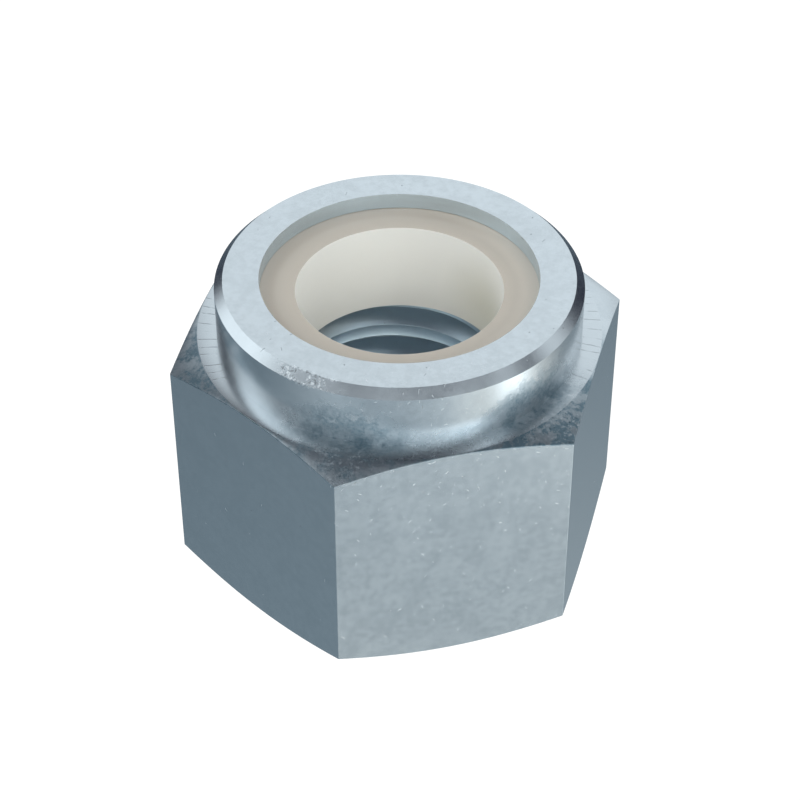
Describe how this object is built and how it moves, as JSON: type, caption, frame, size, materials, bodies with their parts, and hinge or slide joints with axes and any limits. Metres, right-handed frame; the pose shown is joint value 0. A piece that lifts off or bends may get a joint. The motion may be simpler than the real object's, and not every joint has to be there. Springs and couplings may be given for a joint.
{
  "type": "nylon insert lock nut",
  "caption": "Hexagon lock nut whose rolled collar holds a nylon ring that grips the bolt's thread and keeps the nut from working loose.",
  "frame": {"origin": "centre of the bearing face, on the axis of the bore", "axes": "+Z along the bore from the bearing face to the collar, X square to two opposite flats, Y through two opposite corners"},
  "size_m": [0.01, 0.0116, 0.0079],
  "materials": {
    "steel": "bright zinc plate on cold formed steel, satin with fine mottling and small handling marks",
    "nylon": "natural undyed nylon, smooth and slightly waxy"
  },
  "bodies": {
    "root": {"nut_body": "steel", "nylon_insert": "nylon"}
  },
  "joints": []
}
